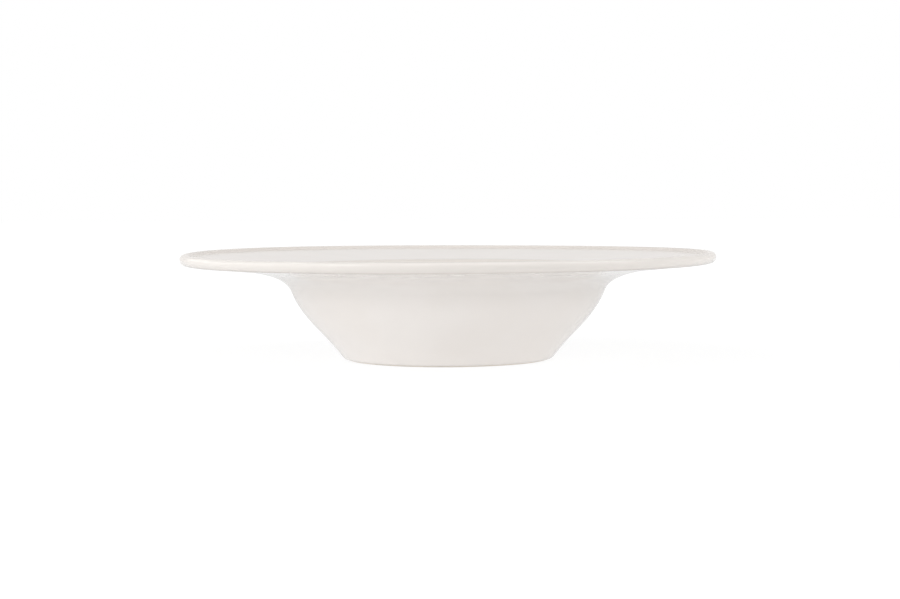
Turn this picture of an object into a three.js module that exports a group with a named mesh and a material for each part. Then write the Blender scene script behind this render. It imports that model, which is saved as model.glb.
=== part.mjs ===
// A deep plate of glazed porcelain, turned about the +Z axis and standing on its foot at z = 0.
// It is a bisque body under two coats of glaze: one runs from the foot up the outside, over the
// rolled edge and down into the well, and one covers the recess inside the foot. The ring that
// the plate stands on is left bare, as it has to be in the kiln.

import * as THREE from "three";

// Overall sizes over the glaze, in millimetres
const RIM_DIAMETER = 270;
const PLATE_HEIGHT = 54;

// Glaze
const GLAZE_THICKNESS = 0.25;
const BOND_GAP = 0.02; // between the bisque and the coat fired onto it
const GLAZE_LINE = 0.8; // height above the table at which both coats stop

// Rim and rolled edge of the bisque
const RIM_THICKNESS = 3.35;
const RIM_SLOPE = 6; // degrees from the horizontal
const ROLL_ABOVE = 1.25; // how far the rolled edge stands above the rim's upper face
const ROLL_BELOW = 0.2; // how far it hangs below the rim's underside
const HOLLOW_ABOVE = 2.5; // radius of the hollow between the roll and the upper face
const HOLLOW_BELOW = 8; // and between the roll and the underside

// Wall of the well
const WELL_DIAMETER = 165.4; // where the line of the outer wall meets the rim's underside
const WALL_THICKNESS = 4.2;
const WALL_LEAN = 21.6; // degrees from the vertical
const FLARE_RUN = 25; // from that corner out along the rim, to where the flare starts
const FLARE_DROP = 9.2; // and down the wall, to where it ends
const FLARE_PULL = 0.67; // how far the flare is pulled into its corner
const BELLY_PULL = 0.375; // pull of the wall's curve below it, as a share of that curve's chord
const SHOULDER_RUN = 4.5; // tighter turn on the inside, from its corner out along the rim
const SHOULDER_DROP = 5; // and down the inner wall
const SHOULDER_PULL = 0.6; // how far that turn is pulled into its corner

// Floor of the well
const FLOOR_DIAMETER = 76; // flat middle
const FLOOR_THICKNESS = 4.6;
const FLOOR_SWEEP = 0.6; // pull of the inner wall's curve towards its corner, at the floor
const WALL_SWEEP = 0.55; // and at the shoulder

// Foot
const FOOT_DIAMETER = 98.7; // outer edge of the flat ring that touches the table
const FOOT_LAND = 3.5; // width of that ring
const FOOT_LEAN = 36.6; // lean of the outer wall where it leaves the foot
const FOOT_ROUND = 5.5; // radius of the foot's outer corner
const LAND_ROUND = 0.8; // radius of the ring's inner edge
const RECESS_DEPTH = 2.2;
const RECESS_LEAN = 50; // lean of the recess's side
const RECESS_ROUND = 2.5; // radius between that side and the ceiling

// Facets
const TURN_STEPS = 48; // round the axis
const CURVE_STEPS = 6; // along each curve of the wall
const FACET_SAG = 0.12; // how far a facet may lie off an arc of the section

// Points and directions of the section: x is the radius and y the height
const at = (radius, height) => new THREE.Vector2(radius, height);
const inRadians = THREE.MathUtils.degToRad;
const heading = (degrees) => at(Math.cos(inRadians(degrees)), Math.sin(inRadians(degrees)));
const moved = (start, along, distance) => start.clone().addScaledVector(along, distance);
const towards = (start, end, share) => start.clone().lerp(end, share);
const reversed = (along) => along.clone().negate();
const rightOf = (along) => at(along.y, -along.x);
const OUTWARDS = at(1, 0);
const UPWARDS = at(0, 1);

// Where the line through p along u meets the line through q along v.
function crossing(p, u, q, v) {
  return moved(p, u, q.clone().sub(p).cross(v) / u.cross(v));
}

// The points of an arc from one angle, in radians, through a turn, with both ends.
function arc(centre, radius, from, turn) {
  const facetTurn = 2 * Math.acos(1 - FACET_SAG / radius);
  const steps = Math.ceil(Math.abs(turn) / facetTurn);
  return Array.from({ length: steps + 1 }, (_, i) => {
    const angle = from + (turn * i) / steps;
    return at(centre.x + radius * Math.cos(angle), centre.y + radius * Math.sin(angle));
  });
}

// The turn from one angle to another, the shorter way round.
function shortTurn(from, to) {
  return Math.atan2(Math.sin(to - from), Math.cos(to - from));
}

// The arc that rounds a corner between the direction travelled before it and the one after it.
function roundedCorner(corner, before, after, radius) {
  const turn = Math.atan2(before.cross(after), before.dot(after));
  const start = moved(corner, before, -radius * Math.tan(Math.abs(turn) / 2));
  const centre = moved(start, rightOf(before), -Math.sign(turn) * radius);
  return arc(centre, radius, start.clone().sub(centre).angle(), turn);
}

// A curve between two points, pulled at each end towards a point on its tangent there.
function curve(start, pullStart, pullEnd, end) {
  return new THREE.CubicBezierCurve(start, pullStart, pullEnd, end).getPoints(CURVE_STEPS);
}

// A curve that cuts a corner, pulled some way into it from both ends.
function cutCorner(start, corner, end, pull) {
  return curve(start, towards(start, corner, pull), towards(end, corner, pull), end);
}

// Rolled edge of the bisque, and the rim's two faces as lines beside its centre
const coat = GLAZE_THICKNESS + BOND_GAP;
const rollRadius = (RIM_THICKNESS + ROLL_ABOVE + ROLL_BELOW) / 2;
const roll = at(RIM_DIAMETER / 2 - coat - rollRadius, PLATE_HEIGHT - coat - rollRadius);
const rimOut = heading(RIM_SLOPE);
const rimAbove = heading(RIM_SLOPE + 90);
const rimBelow = reversed(rimAbove);
const upperDepth = rollRadius - ROLL_ABOVE;
const underDepth = rollRadius - ROLL_BELOW;
const upperFace = moved(roll, rimAbove, upperDepth);
const underFace = moved(roll, rimBelow, underDepth);

// Corner of the outer wall under the rim, and the two ends of the flare that cuts it
const wallUp = heading(90 - WALL_LEAN);
const flareCorner = crossing(underFace, rimOut, at(WELL_DIAMETER / 2, 0), UPWARDS);
const flareTop = moved(flareCorner, rimOut, FLARE_RUN);
const flareFoot = moved(flareCorner, wallUp, -FLARE_DROP);

// The same on the inside, across the thickness of the rim and of the wall
const innerWall = moved(flareCorner, rightOf(wallUp), -WALL_THICKNESS);
const shoulderCorner = crossing(upperFace, rimOut, innerWall, wallUp);
const shoulderTop = moved(shoulderCorner, rimOut, SHOULDER_RUN);
const shoulderFoot = moved(shoulderCorner, wallUp, -SHOULDER_DROP);
const floorHeight = RECESS_DEPTH + FLOOR_THICKNESS;
const floorCorner = crossing(at(0, floorHeight), OUTWARDS, shoulderFoot, wallUp);

// Lines of the foot
const footRadius = FOOT_DIAMETER / 2;
const footCentre = at(footRadius, FOOT_ROUND);
const footLineTurn = Math.acos(1 - GLAZE_LINE / FOOT_ROUND);
const recessDown = heading(RECESS_LEAN - 90);
const landEdge = at(footRadius - FOOT_LAND, 0);

// A stretch of the foot's outer corner, between two angles turned up from the table.
function footCorner(low, high) {
  return arc(footCentre, FOOT_ROUND, low - Math.PI / 2, high - low);
}

// The hollow arc that touches the roll and a face of the rim, from the face to the roll. The face
// lies at a depth beside the roll's centre and is open to one side.
function rollHollow(depth, open, radius) {
  const lift = depth + radius;
  const span = Math.sqrt((rollRadius + radius) ** 2 - lift ** 2);
  const centre = moved(moved(roll, open, lift), rimOut, -span);
  const onFace = reversed(open).angle();
  const onRoll = roll.clone().sub(centre).angle();
  return arc(centre, radius, onFace, shortTurn(onFace, onRoll));
}

// The recess inside the foot, from the axis to the line where its glaze stops.
function recessSection() {
  const ceiling = at(0, RECESS_DEPTH);
  const ceilingCorner = crossing(landEdge, recessDown, ceiling, OUTWARDS);
  const ceilingEdge = roundedCorner(ceilingCorner, OUTWARDS, recessDown, RECESS_ROUND);
  const glazeEnd = crossing(landEdge, recessDown, at(0, GLAZE_LINE), OUTWARDS);
  return [ceiling, ...ceilingEdge, glazeEnd];
}

// The bare ring of the foot, from one glaze line to the other.
function footSection() {
  const inner = roundedCorner(landEdge, recessDown, OUTWARDS, LAND_ROUND);
  return [...inner, ...footCorner(0, footLineTurn)];
}

// The outside of the well, from the glaze line at the foot to the rim's underside.
function outsideSection() {
  const foot = footCorner(footLineTurn, inRadians(90 - FOOT_LEAN));
  const footTop = foot.at(-1);
  const pull = footTop.distanceTo(flareFoot) * BELLY_PULL;
  const pullLow = moved(footTop, heading(90 - FOOT_LEAN), pull);
  const pullHigh = moved(flareFoot, wallUp, -pull);
  const wall = curve(footTop, pullLow, pullHigh, flareFoot);
  return [...foot, ...wall, ...cutCorner(flareFoot, flareCorner, flareTop, FLARE_PULL)];
}

// The rolled edge, from the rim's underside over the top to its upper face.
function edgeSection() {
  const below = rollHollow(underDepth, rimBelow, HOLLOW_BELOW);
  const above = rollHollow(upperDepth, rimAbove, HOLLOW_ABOVE).reverse();
  const turnOf = (end) => end.clone().sub(roll).angle();
  const outermost = 2 * Math.PI;
  const topmost = outermost + Math.PI / 2;
  const rollArc = (from, to) => arc(roll, rollRadius, from, to - from);
  return [
    ...below,
    ...rollArc(turnOf(below.at(-1)), outermost),
    ...rollArc(outermost, topmost),
    ...rollArc(topmost, turnOf(above[0]) + outermost),
    ...above,
  ];
}

// The inside of the well, from the shoulder down to the middle of the floor.
function insideSection() {
  const shoulder = cutCorner(shoulderTop, shoulderCorner, shoulderFoot, SHOULDER_PULL);
  const floorEdge = at(FLOOR_DIAMETER / 2, floorHeight);
  const pullWall = towards(shoulderFoot, floorCorner, WALL_SWEEP);
  const pullFloor = towards(floorEdge, floorCorner, FLOOR_SWEEP);
  return [...shoulder, ...curve(shoulderFoot, pullWall, pullFloor, floorEdge), at(0, floorHeight)];
}

// Joins stretches of a section, without the points that repeat where they meet.
function joined(...stretches) {
  const leastStep = 1e-6;
  return stretches.flat().filter((p, i, all) => i === 0 || p.distanceTo(all[i - 1]) > leastStep);
}

// A section set off to its outer side.
function setOff(section, distance) {
  return section.map((p, i) => {
    const before = section[Math.max(i - 1, 0)];
    const after = section[Math.min(i + 1, section.length - 1)];
    return moved(p, rightOf(after.clone().sub(before).normalize()), distance);
  });
}

// The section of a coat of glaze on a stretch that starts or ends on the axis.
function coatSection(stretch) {
  const outer = setOff(stretch, coat);
  const inner = setOff(stretch, BOND_GAP).reverse();
  const startsOnAxis = stretch[0].x === 0;
  return startsOnAxis ? [...outer, ...inner] : [...inner, ...outer];
}

function turned(name, section, material) {
  const geometry = new THREE.LatheGeometry(section, TURN_STEPS).rotateX(Math.PI / 2);
  const mesh = new THREE.Mesh(geometry, material);
  mesh.name = name;
  return mesh;
}

const bisque = new THREE.MeshStandardMaterial({ color: 0xe3dbd0, roughness: 0.85, metalness: 0 });
const glaze = new THREE.MeshStandardMaterial({ color: 0xece8e2, roughness: 0.08, metalness: 0 });

const recess = joined(recessSection());
const face = joined(outsideSection(), edgeSection(), insideSection());
const body = joined(recess, footSection(), face);

const plate = new THREE.Group();
plate.name = "deep_plate";
plate.add(turned("porcelain_body", body, bisque));
plate.add(turned("glaze_coat", coatSection(face), glaze));
plate.add(turned("base_glaze", coatSection(recess), glaze));

export default plate;
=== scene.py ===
# A deep plate of glazed porcelain, standing on a white studio table.
import math
import bpy
from mathutils import Matrix, Vector


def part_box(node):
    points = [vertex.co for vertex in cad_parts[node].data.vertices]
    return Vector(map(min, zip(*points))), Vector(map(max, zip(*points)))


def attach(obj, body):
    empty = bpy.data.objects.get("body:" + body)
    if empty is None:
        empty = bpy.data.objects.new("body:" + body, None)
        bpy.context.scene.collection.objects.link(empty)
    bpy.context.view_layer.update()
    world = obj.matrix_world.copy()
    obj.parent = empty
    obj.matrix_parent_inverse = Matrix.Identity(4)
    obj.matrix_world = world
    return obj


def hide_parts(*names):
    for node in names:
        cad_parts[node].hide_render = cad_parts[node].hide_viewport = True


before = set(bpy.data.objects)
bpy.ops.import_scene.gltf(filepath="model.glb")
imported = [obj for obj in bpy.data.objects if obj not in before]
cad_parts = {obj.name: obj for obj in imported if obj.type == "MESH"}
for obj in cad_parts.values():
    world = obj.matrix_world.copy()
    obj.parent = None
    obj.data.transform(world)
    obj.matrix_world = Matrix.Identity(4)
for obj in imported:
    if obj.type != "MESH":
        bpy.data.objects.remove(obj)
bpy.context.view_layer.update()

MM = 0.001

# Overall sizes over the glaze, in millimetres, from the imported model
coat_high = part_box("glaze_coat")[1]
RIM_RADIUS = coat_high.x / MM
PLATE_HEIGHT = coat_high.z / MM

# Glaze
GLAZE_THICKNESS = 0.25
BOND_GAP = 0.02
GLAZE_LINE = 0.8
GLAZE_EDGE = 0.7  # over which the glaze thins to its rounded edge at the foot

# Rim and rolled edge
RIM_THICKNESS = 3.35
RIM_SLOPE = 6
ROLL_ABOVE = 1.25
ROLL_BELOW = 0.2
HOLLOW_ABOVE = 2.5
HOLLOW_BELOW = 8

# Wall of the well
WELL_DIAMETER = 165.4
WALL_THICKNESS = 4.2
WALL_LEAN = 21.6
FLARE_RUN = 25
FLARE_DROP = 9.2
FLARE_PULL = 0.67
SHOULDER_RUN = 4.5
SHOULDER_DROP = 5
SHOULDER_PULL = 0.6
BELLY_PULL = 0.375

# Floor of the well
FLOOR_DIAMETER = 76
FLOOR_THICKNESS = 4.6
FLOOR_SWEEP = 0.6
WALL_SWEEP = 0.55

# Foot
FOOT_DIAMETER = 98.7
FOOT_LAND = 3.5
FOOT_LEAN = 36.6
FOOT_ROUND = 5.5
LAND_ROUND = 0.8
RECESS_DEPTH = 2.2
RECESS_LEAN = 50
RECESS_ROUND = 2.5

# Waves that the rim took in the kiln: how many round it, their height, and where one is highest
WARPS = ((2, 0.26, math.radians(-24.8)), (3, 0.154, math.radians(21.1)))

# Fineness of the meshes
TURN_STEPS = 256
CURVE_STEPS = 40
ARC_TURN = math.radians(5)
LONGEST_STEP = 1.5
SAME_POINT = 1e-6  # points that lie closer than this count as one
HIDDEN_SHARE = 4  # away from its edge, the hidden side of a coat keeps one point in this many
HIDDEN_LIFT = 0.06  # and is lifted by this, so that its longer steps stay clear of the body

OUTWARDS = Vector((1, 0))
UPWARDS = Vector((0, 1))


# Points and directions of the section: x is the radius and y the height


def heading(degrees):
    angle = math.radians(degrees)
    return Vector((math.cos(angle), math.sin(angle)))


def angle_of(along):
    return math.atan2(along.y, along.x)


def right_of(along):
    return Vector((along.y, -along.x))


def crossing(p, u, q, v):
    """Where the line through p along u meets the line through q along v."""
    return p + u * ((q - p).cross(v) / u.cross(v))


def short_turn(start, end):
    """The turn from one angle to another, the shorter way round."""
    return math.atan2(math.sin(end - start), math.cos(end - start))


def arc(centre, radius, start, turn):
    """The points of an arc from one angle through a turn, with both ends."""
    steps = math.ceil(max(abs(turn) / ARC_TURN, abs(turn) * radius / LONGEST_STEP))
    angles = [start + turn * i / steps for i in range(steps + 1)]
    return [centre + radius * Vector((math.cos(a), math.sin(a))) for a in angles]


def rounded_corner(corner, before, after, radius):
    """The arc that rounds a corner between the direction before it and the one after it."""
    turn = math.atan2(before.cross(after), before.dot(after))
    start = corner - before * (radius * math.tan(abs(turn) / 2))
    centre = start - right_of(before) * math.copysign(radius, turn)
    return arc(centre, radius, angle_of(start - centre), turn)


def curve(start, pull_start, pull_end, end):
    """A cubic curve between two points, pulled at each end towards a point on its tangent."""
    points = []
    for i in range(CURVE_STEPS + 1):
        t = i / CURVE_STEPS
        s = 1 - t
        ends = start * s**3 + end * t**3
        points.append(ends + pull_start * (3 * s * s * t) + pull_end * (3 * s * t * t))
    return points


def cut_corner(start, corner, end, pull):
    """A curve that cuts a corner, pulled some way into it from both ends."""
    return curve(start, start.lerp(corner, pull), end.lerp(corner, pull), end)


# Rolled edge, and the rim's two faces as lines beside its centre
coat = GLAZE_THICKNESS + BOND_GAP
roll_radius = (RIM_THICKNESS + ROLL_ABOVE + ROLL_BELOW) / 2
roll = Vector((RIM_RADIUS - coat - roll_radius, PLATE_HEIGHT - coat - roll_radius))
rim_out = heading(RIM_SLOPE)
rim_above = heading(RIM_SLOPE + 90)
rim_below = -rim_above
upper_depth = roll_radius - ROLL_ABOVE
under_depth = roll_radius - ROLL_BELOW
upper_face = roll + rim_above * upper_depth
under_face = roll + rim_below * under_depth

# Corner of the outer wall under the rim, and the two ends of the flare that cuts it
wall_up = heading(90 - WALL_LEAN)
flare_corner = crossing(under_face, rim_out, Vector((WELL_DIAMETER / 2, 0)), UPWARDS)
flare_top = flare_corner + rim_out * FLARE_RUN
flare_foot = flare_corner - wall_up * FLARE_DROP

# The same on the inside, across the thickness of the wall
inner_wall = flare_corner - right_of(wall_up) * WALL_THICKNESS
shoulder_corner = crossing(upper_face, rim_out, inner_wall, wall_up)
shoulder_top = shoulder_corner + rim_out * SHOULDER_RUN
shoulder_foot = shoulder_corner - wall_up * SHOULDER_DROP
floor_height = RECESS_DEPTH + FLOOR_THICKNESS
floor_corner = crossing(Vector((0, floor_height)), OUTWARDS, shoulder_foot, wall_up)

# Lines of the foot
foot_radius = FOOT_DIAMETER / 2
foot_centre = Vector((foot_radius, FOOT_ROUND))
foot_line_turn = math.acos(1 - GLAZE_LINE / FOOT_ROUND)
recess_down = heading(RECESS_LEAN - 90)
land_edge = Vector((foot_radius - FOOT_LAND, 0))


def foot_corner(low, high):
    """A stretch of the foot's outer corner, between two angles turned up from the table."""
    return arc(foot_centre, FOOT_ROUND, low - math.pi / 2, high - low)


def roll_hollow(depth, opened, radius):
    """The hollow arc between a face of the rim and the roll, from the face to the roll."""
    lift = depth + radius
    span = math.sqrt((roll_radius + radius) ** 2 - lift**2)
    centre = roll + opened * lift - rim_out * span
    on_face = angle_of(-opened)
    on_roll = angle_of(roll - centre)
    return arc(centre, radius, on_face, short_turn(on_face, on_roll))


def recess_section():
    """The recess inside the foot, from the axis to the line where its glaze stops."""
    ceiling = Vector((0, RECESS_DEPTH))
    corner = crossing(land_edge, recess_down, ceiling, OUTWARDS)
    edge = rounded_corner(corner, OUTWARDS, recess_down, RECESS_ROUND)
    glaze_end = crossing(land_edge, recess_down, Vector((0, GLAZE_LINE)), OUTWARDS)
    return [ceiling, *edge, glaze_end]


def foot_section():
    """The bare ring of the foot, from one glaze line to the other."""
    inner = rounded_corner(land_edge, recess_down, OUTWARDS, LAND_ROUND)
    return [*inner, *foot_corner(0, foot_line_turn)]


def outside_section():
    """The outside of the well, from the glaze line at the foot to the rim's underside."""
    foot = foot_corner(foot_line_turn, math.radians(90 - FOOT_LEAN))
    foot_top = foot[-1]
    pull = (flare_foot - foot_top).length * BELLY_PULL
    pull_low = foot_top + heading(90 - FOOT_LEAN) * pull
    wall = curve(foot_top, pull_low, flare_foot - wall_up * pull, flare_foot)
    return [*foot, *wall, *cut_corner(flare_foot, flare_corner, flare_top, FLARE_PULL)]


def edge_section():
    """The rolled edge, from the rim's underside over the top to its upper face."""
    below = roll_hollow(under_depth, rim_below, HOLLOW_BELOW)
    above = roll_hollow(upper_depth, rim_above, HOLLOW_ABOVE)[::-1]
    start = angle_of(below[-1] - roll)
    turn = angle_of(above[0] - roll) - start
    return [*below, *arc(roll, roll_radius, start, turn), *above]


def inside_section():
    """The inside of the well, from the shoulder down to the middle of the floor."""
    shoulder = cut_corner(shoulder_top, shoulder_corner, shoulder_foot, SHOULDER_PULL)
    floor_edge = Vector((FLOOR_DIAMETER / 2, floor_height))
    pull_wall = shoulder_foot.lerp(floor_corner, WALL_SWEEP)
    pull_floor = floor_edge.lerp(floor_corner, FLOOR_SWEEP)
    inside = curve(shoulder_foot, pull_wall, pull_floor, floor_edge)
    return [*shoulder, *inside, Vector((0, floor_height))]


def joined(*stretches):
    """One section from its stretches, with points added on long straights and none twice."""
    section = []
    for point in (p for stretch in stretches for p in stretch):
        gap = (point - section[-1]).length if section else 0
        if section and gap < SAME_POINT:
            continue
        start = section[-1] if section else point
        steps = max(1, math.ceil(gap / LONGEST_STEP))
        section += [start.lerp(point, (i + 1) / steps) for i in range(steps)]
    return section


def set_off(section, distances):
    """A section set off to its outer side, by a distance for each point."""
    moved = []
    for i, point in enumerate(section):
        before = section[max(i - 1, 0)]
        after = section[min(i + 1, len(section) - 1)]
        out = right_of((after - before).normalized())
        if point.x == 0:
            out.x = 0
        moved.append(point + out * distances[i])
    return moved


def coat_section(stretch):
    """The section of a coat of glaze on a stretch that starts or ends on the axis."""
    starts_on_axis = stretch[0].x == 0
    from_edge = stretch[::-1] if starts_on_axis else stretch
    lengths = [0]
    for a, b in zip(from_edge, from_edge[1:]):
        lengths.append(lengths[-1] + (b - a).length)
    shares = [min(length / GLAZE_EDGE, 1) for length in lengths]
    fullness = [math.sqrt(1 - (1 - s) ** 2) for s in shares]
    along = fullness[::-1] if starts_on_axis else fullness
    outer = set_off(stretch, [BOND_GAP + GLAZE_THICKNESS * full for full in along])
    inner = set_off(stretch, [BOND_GAP + HIDDEN_LIFT * full for full in along])
    last = len(inner) - 1
    kept = [i for i, full in enumerate(along) if i % HIDDEN_SHARE == 0 or i == last or full < 1]
    hidden = [inner[i] for i in reversed(kept)]
    return [*outer, *hidden[1:]] if starts_on_axis else [*hidden, *outer[1:]]


# Meshes


def warp(radius, turn):
    """How far the kiln lifted a point of the plate."""
    share = max(0, (radius - foot_radius) / (RIM_RADIUS - foot_radius))
    return share**2 * sum(height * math.cos(waves * (turn - high)) for waves, height, high in WARPS)


def turned(name, section):
    """A closed mesh turned from a section that starts and ends on the axis."""
    vertices = []
    for point in section[1:-1]:
        for step in range(TURN_STEPS):
            turn = 2 * math.pi * step / TURN_STEPS
            height = point.y + warp(point.x, turn)
            vertices.append((point.x * math.cos(turn), point.x * math.sin(turn), height))
    rings = len(section) - 2
    first_pole = len(vertices)
    vertices.append((0, 0, section[0].y))
    vertices.append((0, 0, section[-1].y))
    faces = []
    for step in range(TURN_STEPS):
        after = (step + 1) % TURN_STEPS
        faces.append((first_pole, after, step))
        for ring in range(rings - 1):
            low = ring * TURN_STEPS
            high = low + TURN_STEPS
            faces.append((low + step, low + after, high + after, high + step))
        top = (rings - 1) * TURN_STEPS
        faces.append((top + step, top + after, first_pole + 1))
    mesh = bpy.data.meshes.new(name)
    mesh.from_pydata([Vector(v) * MM for v in vertices], [], faces)
    mesh.shade_smooth()
    piece = bpy.data.objects.new(name, mesh)
    bpy.context.scene.collection.objects.link(piece)
    return piece


# Materials


class Nodes:
    """A node tree, with short ways to add to it."""

    def __init__(self, owner):
        owner.use_nodes = True
        self.tree = owner.node_tree
        self.tree.nodes.clear()

    def fill(self, socket, value):
        if isinstance(value, bpy.types.NodeSocket):
            self.tree.links.new(value, socket)
        else:
            socket.default_value = value

    def add(self, kind, inputs, output=0, **settings):
        """Adds a node with its settings and inputs, and returns one of its outputs."""
        made = self.tree.nodes.new("ShaderNode" + kind)
        for name, value in settings.items():
            setattr(made, name, value)
        for key, value in inputs.items():
            self.fill(made.inputs[key], value)
        return made.outputs[output]

    def maths(self, operation, first, second):
        return self.add("Math", {0: first, 1: second}, operation=operation)

    def between(self, value, low, high, to_low=0.0, to_high=1.0):
        """A value mapped smoothly from one range to another."""
        inputs = {0: value, 1: low, 2: high, 3: to_low, 4: to_high}
        return self.add("MapRange", inputs, interpolation_type="SMOOTHSTEP")

    def blend(self, factor, first, second):
        """A colour between two others."""
        return self.add("Mix", {0: factor, 6: first, 7: second}, output=2, data_type="RGBA")

    def place(self):
        """The point of the surface in the plate's own frame, in metres."""
        return self.add("TexCoord", {}, output="Object")

    def noise(self, place, scale, detail=2.0):
        return self.add("TexNoise", {"Vector": place, "Scale": scale, "Detail": detail})

    def radius(self, place):
        """How far a point lies from the plate's axis, in metres."""
        flat = self.add("VectorMath", {0: place, 1: (1, 1, 0)}, operation="MULTIPLY")
        return self.add("VectorMath", {0: flat}, output="Value", operation="LENGTH")

    def upward(self, vector):
        """The upward part of a point or of a direction."""
        return self.add("SeparateXYZ", {0: vector}, output="Z")

    def bump(self, height, distance, normal=None):
        inputs = {"Height": height, "Distance": distance}
        if normal:
            inputs["Normal"] = normal
        return self.add("Bump", inputs)

    def finish(self, kind, shader):
        output = self.tree.nodes.new("ShaderNodeOutput" + kind)
        self.tree.links.new(shader, output.inputs["Surface"])


def colour(red, green, blue):
    return (red, green, blue, 1)


# Colours of the glaze and of the bare body, and of the shade painted on the glaze
IVORY = colour(0.82, 0.79, 0.765)
IVORY_DEEP = colour(0.81, 0.777, 0.748)
EDGE_BEIGE = colour(0.77, 0.732, 0.695)
# Painted shade, darker and warmer, for the well's shoulder and the hollow beside the roll
PAINTED_SHADE = colour(0.73, 0.685, 0.643)
# Painted shade, darker still, for the underside of the roll
UNDER_ROLL_SHADE = colour(0.635, 0.595, 0.563)
IRON_BROWN = colour(0.16, 0.11, 0.08)
BISQUE_PALE = colour(0.80, 0.75, 0.68)
BISQUE_GREY = colour(0.72, 0.68, 0.62)

# Where the glaze's colour and its painted shade change, in millimetres in from the rim's edge
HOLLOW_FADE = (8.5, 7)  # from the flat rim into the hollow beside the roll, where painted shade lies
CREST_FADE = (4, 2.8)  # from the hollow up onto the roll
UNDER_FADE = (5.5, 4.5)  # from the rim's underside onto the underside of the roll
UNDER_FACING = (-0.6, -0.9)  # height of the outward direction, as the roll turns under
SHOULDER_FADE = 2  # onto the flat rim, from the top of the well's shoulder

# Fine look of the glaze: about how many of each there are to a metre, and how strong they are
CLOUDS = 28
CLOUD_SPAN = (0.35, 0.65)  # of the noise, from one ivory to the other
SPECK_CELLS = 60
SPECK_RADII = (0.008, 0.014)  # of a speck's dark middle and of its edge, in cells
SPECK_DEPTH = 0.8
WAVES = 35
WAVE_HEIGHT = 6e-6
GLOSS_PATCHES = 45
GLOSS_SPAN = (0.3, 0.7)  # of the noise, from the glossiest patches to the least glossy
GLAZE_ROUGHNESS = (0.06, 0.10)  # in the glossiest patches, and in the least glossy
GLAZE_IOR = 1.5

# Fine look of the bare foot, in the same way
GRAINS = 2500
GRAIN_HEIGHT = 30e-6
RINGS = 6000
RING_HEIGHT = 20e-6
WORN_PATCHES = 160
WORN_SPAN = (0.2, 0.4)  # of the noise, from fresh to worn
FRESH_ROUGHNESS = 0.9
WORN_ROUGHNESS = 0.7


def near_edge(nodes, radius, fade):
    """A share that rises to 1 between two distances in from the rim's edge."""
    start, end = fade
    return nodes.between(radius, (RIM_RADIUS - start) * MM, (RIM_RADIUS - end) * MM)


def on_shoulder(nodes, place, radius):
    """A share that is 1 on the well's shoulder, and fades onto the rim and down the wall, for the
    painted shade there.
    """
    inside = nodes.between(radius, (shoulder_top.x + SHOULDER_FADE) * MM, shoulder_top.x * MM)
    above = nodes.between(nodes.upward(place), shoulder_foot.y * MM, shoulder_corner.y * MM)
    return nodes.maths("MULTIPLY", inside, above)


def under_roll(nodes, radius):
    """A share that rises to 1 where the roll turns under and faces down, for the painted shade there.
    """
    outward = nodes.add("TexCoord", {}, output="Normal")
    turned_under = nodes.between(nodes.upward(outward), *UNDER_FACING)
    return nodes.maths("MULTIPLY", turned_under, near_edge(nodes, radius, UNDER_FADE))


def glaze_colour(nodes, place):
    """Clouded ivory, beige on the roll, with a few specks, and painted shade: darker and warmer on the
    shoulder and in the hollow beside the roll, darkest under the roll.
    """
    clouds = nodes.between(nodes.noise(place, CLOUDS, detail=3.0), *CLOUD_SPAN)
    base = nodes.blend(clouds, IVORY, IVORY_DEEP)
    radius = nodes.radius(place)
    # Painted shade on the shoulder, where it turns down into the well
    base = nodes.blend(on_shoulder(nodes, place, radius), base, PAINTED_SHADE)
    # Painted shade in the hollow beside the roll, turning to beige up on the roll
    edge = nodes.blend(near_edge(nodes, radius, CREST_FADE), PAINTED_SHADE, EDGE_BEIGE)
    base = nodes.blend(near_edge(nodes, radius, HOLLOW_FADE), base, edge)
    # Painted shade under the roll, where it faces down
    base = nodes.blend(under_roll(nodes, radius), base, UNDER_ROLL_SHADE)
    cells = nodes.add("TexVoronoi", {"Vector": place, "Scale": SPECK_CELLS})
    specks = nodes.between(cells, *SPECK_RADII, SPECK_DEPTH, 0)
    return nodes.blend(specks, base, IRON_BROWN)


def glaze_material():
    """Clear gloss glaze over ivory porcelain, faintly waved and a little uneven in its gloss."""
    material = bpy.data.materials.new("glaze")
    nodes = Nodes(material)
    place = nodes.place()
    base = glaze_colour(nodes, place)
    waves = nodes.bump(nodes.noise(place, WAVES, detail=0.0), WAVE_HEIGHT)
    rough = nodes.between(nodes.noise(place, GLOSS_PATCHES), *GLOSS_SPAN, *GLAZE_ROUGHNESS)
    inputs = {"Base Color": base, "Roughness": rough, "Normal": waves, "IOR": GLAZE_IOR}
    nodes.finish("Material", nodes.add("BsdfPrincipled", inputs))
    return material


def bisque_material():
    """Fired porcelain without glaze: matt, fine grained, and ground in rings where it stands."""
    material = bpy.data.materials.new("bisque")
    nodes = Nodes(material)
    place = nodes.place()
    grain = nodes.noise(place, GRAINS, detail=3.0)
    rings = nodes.add("TexNoise", {"W": nodes.radius(place), "Scale": RINGS}, noise_dimensions="1D")
    patches = nodes.noise(place, WORN_PATCHES)
    worn = nodes.between(nodes.maths("MULTIPLY", rings, patches), *WORN_SPAN)
    base = nodes.blend(worn, BISQUE_PALE, BISQUE_GREY)
    ground = nodes.bump(rings, RING_HEIGHT)
    normal = nodes.bump(grain, GRAIN_HEIGHT, ground)
    rough = nodes.between(worn, 0, 1, FRESH_ROUGHNESS, WORN_ROUGHNESS)
    inputs = {"Base Color": base, "Roughness": rough, "Normal": normal}
    nodes.finish("Material", nodes.add("BsdfPrincipled", inputs))
    return material


def by_ray(nodes, seen, mirrored, otherwise):
    """One value for rays from the camera, one for reflections in the object and one for the rest."""
    camera_ray = nodes.add("LightPath", {}, output="Is Camera Ray")
    rays = camera_ray.node.outputs
    reflection = nodes.maths("MAXIMUM", rays["Is Glossy Ray"], rays["Is Transmission Ray"])
    return nodes.between(camera_ray, 0, 1, nodes.between(reflection, 0, 1, otherwise, mirrored), seen)


WHITE = colour(1, 1, 1)
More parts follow.
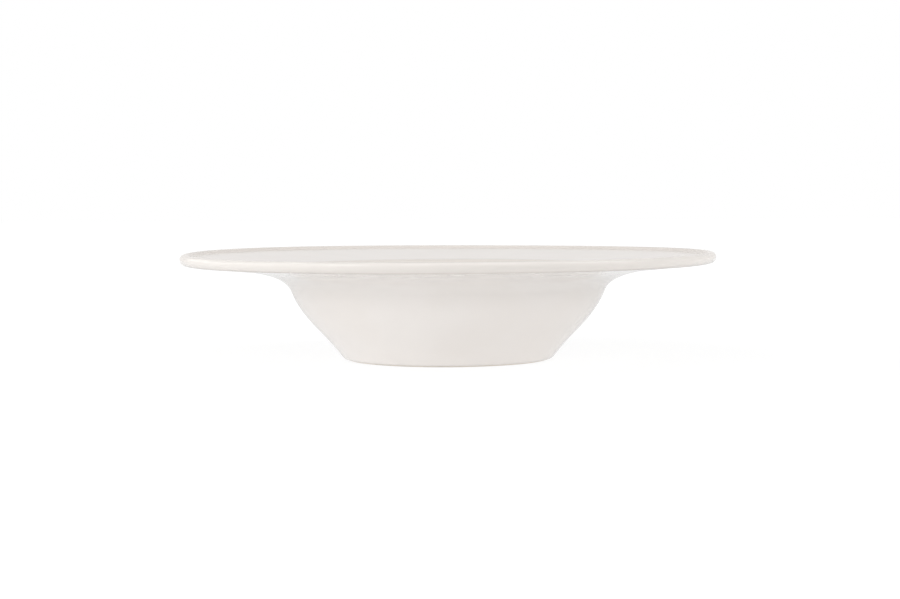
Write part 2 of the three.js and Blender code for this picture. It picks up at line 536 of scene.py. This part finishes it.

# White table: its paint, and a level of its own where it is seen, mirrored or lights the object; near
# the object the mirrored level is lowered as painted shadow, and the table glows as painted light
TABLE_PAINT = 0.8  # for light that it passes on to the object
TABLE_SHADOWED = 0.13  # for its look, so that a trace of the shadow shows
TABLE_SEEN = 0.9  # beside the object
TABLE_MIRRORED = 0.72  # in the object's gloss, lower near the object as a painted shadow in its reflection
TABLE_NEAR = 0.15  # metres from the middle, from where those two turn as white as the tent
TABLE_FAR = 0.45  # up to here where it is seen
MIRROR_FAR = 1.0  # and up to here where it is mirrored
TABLE_GLOW = 0.31  # painted light: the table glows beside the foot, standing in for light bounced under the plate
TABLE_GLOW_FAR = 0.06  # and further out
GLOW_NEAR = 0.04  # metres from the middle, between which that light fades
GLOW_FAR = 0.32

# White tent: its level in the object's gloss, the tint that it has there, and its light
TENT_MIRRORED = 0.86
TENT_TINT = colour(1, 0.97, 0.95)
TENT_LIGHT = 0.15


def floor_material():
    """A white table: it looks as white as the tent, and keeps a trace of the object's shadow; near the
    object a painted shadow darkens its reflection, and it glows beside the foot as painted light.
    """
    material = bpy.data.materials.new("table_white")
    nodes = Nodes(material)
    level = by_ray(nodes, TABLE_SHADOWED, TABLE_SHADOWED, TABLE_PAINT)
    tint = nodes.add("CombineColor", {0: level, 1: level, 2: level})
    paint = nodes.add("BsdfDiffuse", {"Color": tint})
    distance = nodes.radius(nodes.place())
    seen = nodes.between(distance, TABLE_NEAR, TABLE_FAR, TABLE_SEEN, 1.0)
    # Painted shadow: the table's reflection is darker near the object
    mirrored = nodes.between(distance, TABLE_NEAR, MIRROR_FAR, TABLE_MIRRORED, TENT_MIRRORED)
    # Painted light: the table glows near the foot, fading further out
    light = nodes.between(distance, GLOW_NEAR, GLOW_FAR, TABLE_GLOW, TABLE_GLOW_FAR)
    glow = nodes.add("Emission", {"Color": WHITE, "Strength": by_ray(nodes, seen, mirrored, light)})
    nodes.finish("Material", nodes.add("AddShader", {0: paint, 1: glow}))
    return material


def studio_world():
    """A white tent: soft light on the object, and white where it is seen or mirrored."""
    world = bpy.data.worlds.new("white_tent")
    bpy.context.scene.world = world
    nodes = Nodes(world)
    strength = by_ray(nodes, 1.0, TENT_MIRRORED, TENT_LIGHT)
    tint = nodes.blend(by_ray(nodes, 0.0, 1.0, 0.0), WHITE, TENT_TINT)
    tent = nodes.add("Background", {"Color": tint, "Strength": strength})
    nodes.finish("World", tent)


# The plate


def dressed(name, section, node, material):
    """A turned piece that stands for a node of the CAD model."""
    piece = turned(name, section)
    piece.data.materials.append(material)
    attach(piece, "root")
    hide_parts(node)


recess = joined(recess_section())
face = joined(outside_section(), edge_section(), inside_section())
body = joined(recess, foot_section(), face)
glaze = glaze_material()
dressed("plate_body", body, "porcelain_body", bisque_material())
dressed("plate_glaze", coat_section(face), "glaze_coat", glaze)
dressed("plate_base_glaze", coat_section(recess), "base_glaze", glaze)


# The studio

FLOOR_SIZE = 8.0
FLOOR_DEPTH = 0.00005  # under the foot, so that no faces coincide


def table_top():
    """The white table that the plate stands on."""
    half = FLOOR_SIZE / 2
    outline = ((-half, -half), (half, -half), (half, half), (-half, half))
    corners = [(x, y, -FLOOR_DEPTH) for x, y in outline]
    mesh = bpy.data.meshes.new("table_top")
    mesh.from_pydata(corners, [], [(0, 1, 2, 3)])
    mesh.materials.append(floor_material())
    top = bpy.data.objects.new("table_top", mesh)
    bpy.context.scene.collection.objects.link(top)


def softbox(name, place, width, height, power, mirrored=True):
    """A rectangular lamp that faces the plate, and shows in its gloss or not."""
    lamp = bpy.data.lights.new(name, "AREA")
    lamp.shape = "RECTANGLE"
    lamp.size = width
    lamp.size_y = height
    lamp.energy = power
    box = bpy.data.objects.new(name, lamp)
    box.location = place
    box.rotation_euler = (-Vector(place)).to_track_quat("-Z", "Y").to_euler()
    box.visible_glossy = mirrored
    bpy.context.scene.collection.objects.link(box)


# Camera: its place, its lens, and how far it looks down and leans
CAMERA_PLACE = Vector((0.00097, -1.02768, 0.0879))
CAMERA_LENS = 81.1
CAMERA_DOWN = math.radians(3.222)
CAMERA_LEAN = math.radians(0.276)


def camera():
    """The camera, at the photograph's viewing angle."""
    data = bpy.data.cameras.new("camera")
    data.lens = CAMERA_LENS
    made = bpy.data.objects.new("camera", data)
    look = Matrix.Rotation(math.pi / 2 - CAMERA_DOWN, 4, "X")
    lean = Matrix.Rotation(-CAMERA_LEAN, 4, "Z")
    made.matrix_world = Matrix.Translation(CAMERA_PLACE) @ look @ lean
    bpy.context.scene.collection.objects.link(made)
    bpy.context.scene.camera = made


table_top()
studio_world()

# Lamps: place, width and height in metres, and power in watts. The gloss mirrors only the first three,
# so that the flat rim doesn't glare.
softbox("top", (0.1, -0.25, 1.5), 3.2, 0.4, 11)
softbox("left", (-1.25, -0.1, 1.15), 1.8, 1.4, 6.7)
softbox("left_back", (-1.28, 1.0, 0.6), 1.2, 0.5, 1.2)
softbox("left_fill", (-1.3, -0.2, 1.2), 1.5, 1.4, 3.85, mirrored=False)
softbox("left_low", (-1.6, -0.8, 0.41), 2.0, 0.8, 13.5, mirrored=False)
softbox("right", (1.75, -0.4, 0.76), 3.2, 1.5, 27, mirrored=False)
softbox("front", (0.0, -2.3, 0.45), 3.6, 0.9, 10, mirrored=False)

camera()
bpy.context.scene.view_settings.view_transform = "Standard"
